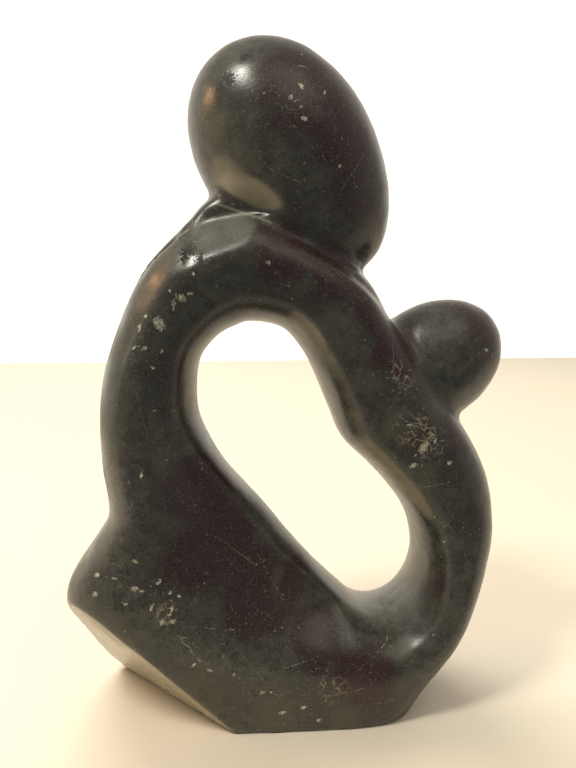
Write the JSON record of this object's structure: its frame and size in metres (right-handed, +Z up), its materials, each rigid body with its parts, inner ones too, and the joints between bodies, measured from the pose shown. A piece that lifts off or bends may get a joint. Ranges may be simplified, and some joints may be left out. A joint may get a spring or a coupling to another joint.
{
  "type": "mother and child sculpture",
  "caption": "Abstract stone carving of a mother holding a child: a thick ring-shaped body on a flat base, open through its middle, with plain egg-shaped heads.",
  "frame": {"origin": "middle of the bounding box's base, on the flat underside that rests on the table", "axes": "+Z up, -Y towards the pictured front, +X towards the child's head"},
  "size_m": [0.14, 0.0502, 0.208],
  "materials": {
    "soapstone": "rubbed smooth and waxed, with fine pits, scratches and pale chips"
  },
  "bodies": {
    "root": {"mother_and_child": "soapstone"}
  },
  "joints": []
}
